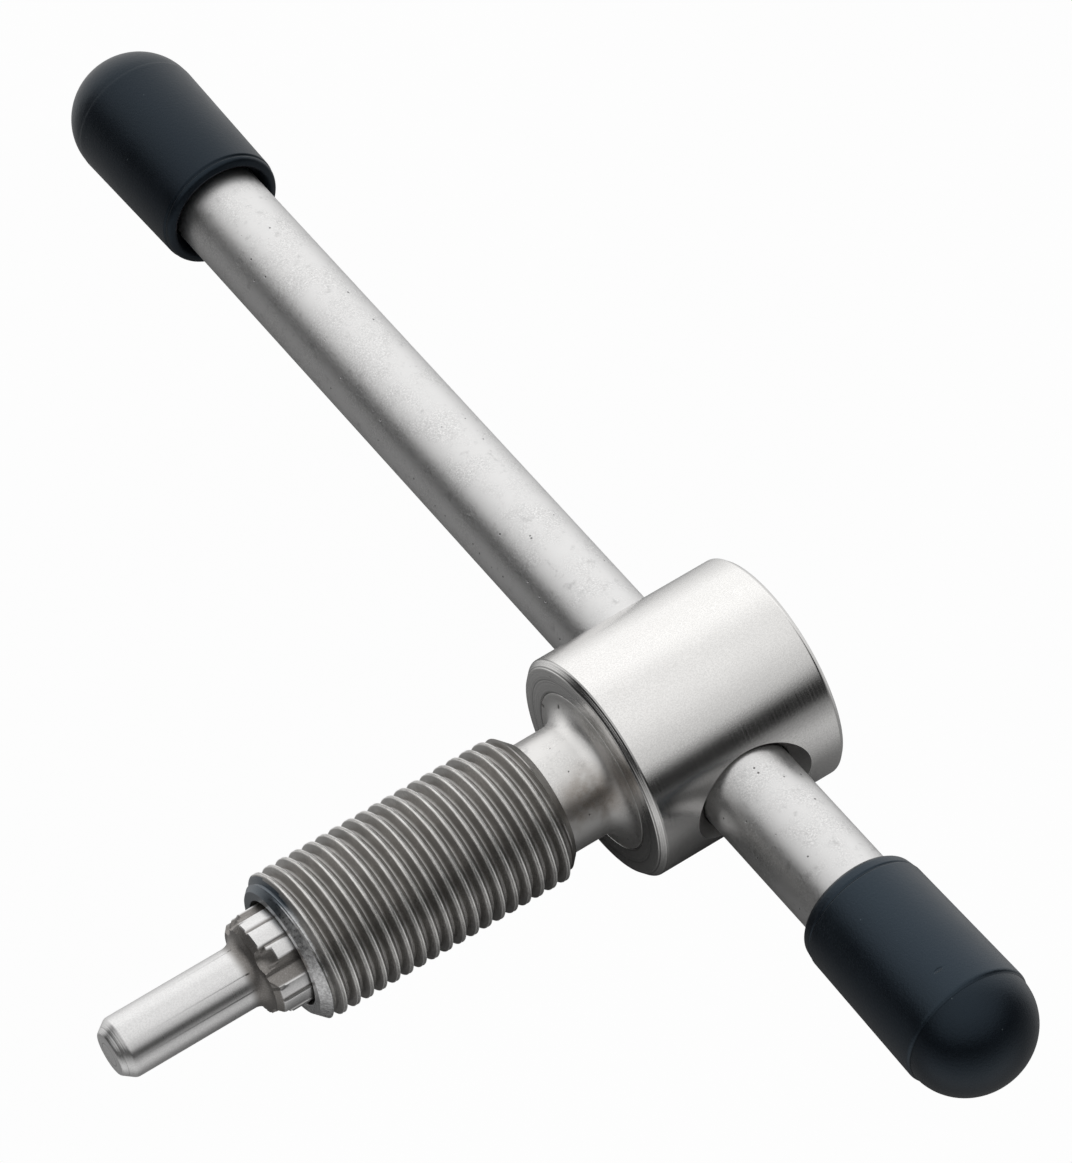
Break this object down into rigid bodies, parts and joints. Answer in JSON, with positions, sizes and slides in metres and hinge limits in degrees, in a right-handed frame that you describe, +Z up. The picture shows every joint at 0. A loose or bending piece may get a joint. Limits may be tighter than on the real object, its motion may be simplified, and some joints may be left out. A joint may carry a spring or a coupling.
{
  "type": "chain tool drive screw",
  "caption": "Drive screw of a bicycle chain tool: a fine-threaded screw with a free-turning press pin in its nose, a round head and a sliding T handle bar with rubber end caps.",
  "frame": {"origin": "centre of the head's flat back face, on the screw's axis", "axes": "+X along the screw from the head to the press pin's tip, +Y along the handle bar towards its short side at rest, +Z up"},
  "size_m": [0.0383, 0.0808, 0.012],
  "materials": {
    "head_metal": "turned, satin nickel plated",
    "screw_steel": "blasted neck, dark cut thread",
    "pin_steel": "ground, satin",
    "spring_steel": "bright spring steel",
    "ball_steel": "polished bearing ball",
    "bar_metal": "fine blasted, satin nickel plated",
    "cap_rubber": "matt blue-black rubber"
  },
  "bodies": {
    "screw": {"head": "head_metal", "drive_screw": "screw_steel", "retaining_ring": "spring_steel", "thrust_ball": "ball_steel"},
    "handle": {"tommy_bar": "bar_metal", "end_cap_short_side": "cap_rubber", "end_cap_long_side": "cap_rubber"},
    "pin": {"press_pin": "pin_steel"}
  },
  "joints": [
    {"name": "bar_slide", "type": "slide", "parent": "screw", "child": "handle", "axis": [0, 1, 0], "range_m": [-0.0081, 0.0363]},
    {"name": "pin_swivel", "type": "hinge", "parent": "screw", "child": "pin", "pos_m": [0.0192, 0, 0], "axis": [1, 0, 0], "continuous": true}
  ]
}
